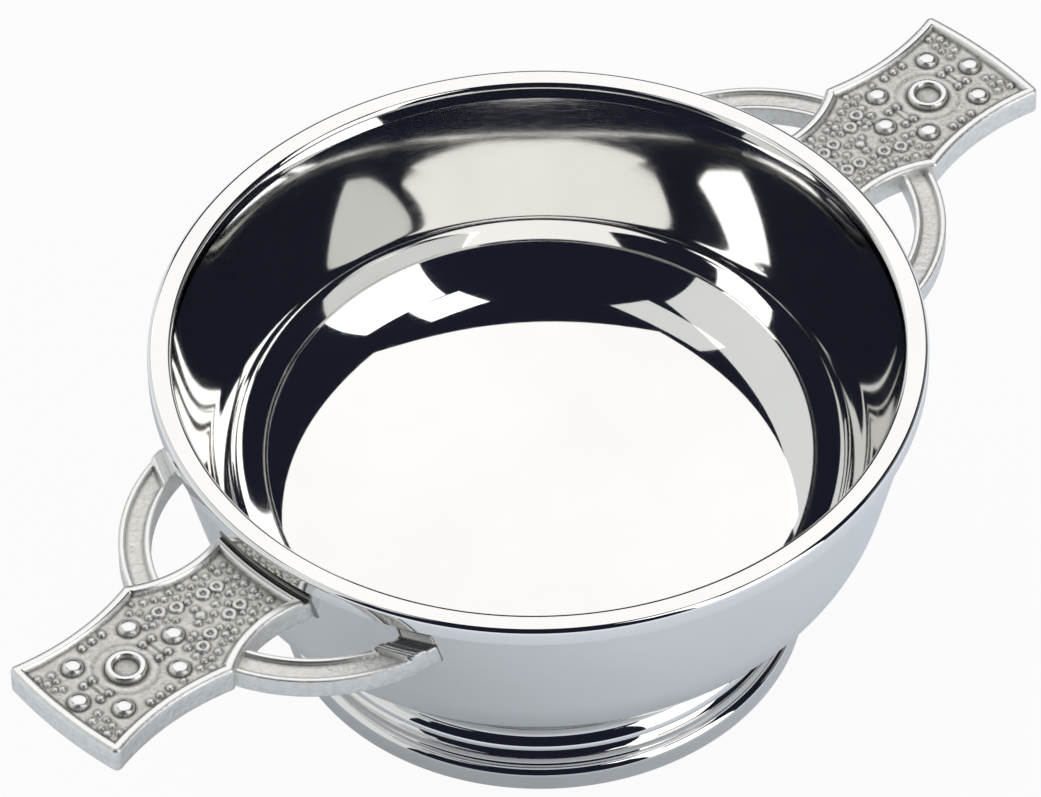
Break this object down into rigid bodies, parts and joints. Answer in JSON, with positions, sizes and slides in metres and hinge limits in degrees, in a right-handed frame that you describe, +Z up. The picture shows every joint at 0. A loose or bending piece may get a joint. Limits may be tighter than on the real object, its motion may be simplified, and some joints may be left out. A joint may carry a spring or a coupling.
{
  "type": "quaich",
  "caption": "Shallow drinking bowl with a polished rounded body, flat-topped rim, moulded foot ring and flared cross-arm lugs with ring arcs and studded relief.",
  "frame": {"origin": "middle of the foot's underside, on the bowl's axis", "axes": "+Z up along the bowl's axis, +X along the lugs, +Y across them"},
  "size_m": [0.17, 0.1026, 0.0488],
  "materials": {
    "polished_metal": "mirror polish",
    "cast_metal": "satin casting with polished high spots",
    "solder": "satin"
  },
  "bodies": {
    "root": {"bowl": "polished_metal", "rim_band": "polished_metal", "foot_ring": "polished_metal", "lug_left": "cast_metal", "lug_right": "cast_metal", "rim_solder": "solder", "foot_solder": "solder", "lug_left_solder": "solder", "lug_right_solder": "solder"}
  },
  "joints": []
}
